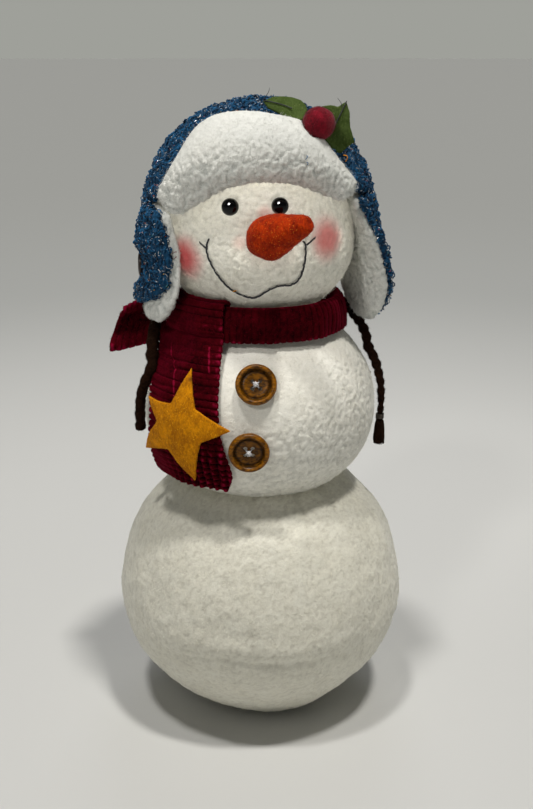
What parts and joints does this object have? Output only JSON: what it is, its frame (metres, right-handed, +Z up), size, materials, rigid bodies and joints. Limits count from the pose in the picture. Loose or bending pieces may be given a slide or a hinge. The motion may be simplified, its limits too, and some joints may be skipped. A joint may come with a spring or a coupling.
{
  "type": "stuffed fabric snowman figure",
  "caption": "Standing stuffed fleece snowman figure with a trapper cap, scarf, felt star, wooden buttons and cloth-wrapped arms; a table ornament.",
  "frame": {"origin": "centre of the flat base of the lower ball, on the table", "axes": "+Z up through the three balls, the face looks along -Y, +X is the viewer's right"},
  "size_m": [0.1672, 0.162, 0.3434],
  "materials": {
    "cream_fleece": "short soft fleece, warm cream",
    "white_fleece": "nubby fleece, off-white",
    "sherpa_lining": "shaggy sherpa fleece, white",
    "blue_boucle": "looped boucle knit with tinsel flecks",
    "burgundy_corduroy": "wide-wale corduroy with pinked edges",
    "mustard_felt": "pressed felt",
    "green_felt": "pressed wool felt",
    "red_felt": "needle felt",
    "orange_felt": "needle felt",
    "brown_chenille": "chenille cloth over wire",
    "stained_wood": "stained and varnished",
    "dark_button": "dark stain, satin",
    "black_bead": "high gloss",
    "dark_thread": "waxed sewing thread",
    "white_thread": "sewing thread",
    "dark_wire": "dark, dull"
  },
  "bodies": {
    "root": {"lower_ball": "cream_fleece", "middle_ball": "white_fleece", "head_ball": "white_fleece", "nose": "orange_felt", "left_eye": "black_bead", "right_eye": "black_bead", "smile_thread": "dark_thread", "left_smile_stitch": "dark_thread", "right_smile_stitch": "dark_thread", "cap_crown": "blue_boucle", "cap_lining": "sherpa_lining", "cap_brim": "sherpa_lining", "left_flap_outer": "blue_boucle", "right_flap_outer": "blue_boucle", "left_flap_lining": "sherpa_lining", "right_flap_lining": "sherpa_lining", "left_flap_button": "dark_button", "right_flap_button": "dark_button", "left_leaf": "green_felt", "right_leaf": "green_felt", "left_leaf_vein": "dark_thread", "right_leaf_vein": "dark_thread", "berry": "red_felt", "scarf_neck_band": "burgundy_corduroy", "scarf_front_tail": "burgundy_corduroy", "scarf_back_tail": "burgundy_corduroy", "star": "mustard_felt", "upper_button": "stained_wood", "lower_button": "stained_wood", "upper_button_thread": "white_thread", "lower_button_thread": "white_thread", "left_arm": "brown_chenille", "right_arm": "brown_chenille", "right_arm_tie": "dark_wire", "right_hand": "brown_chenille"}
  },
  "joints": []
}
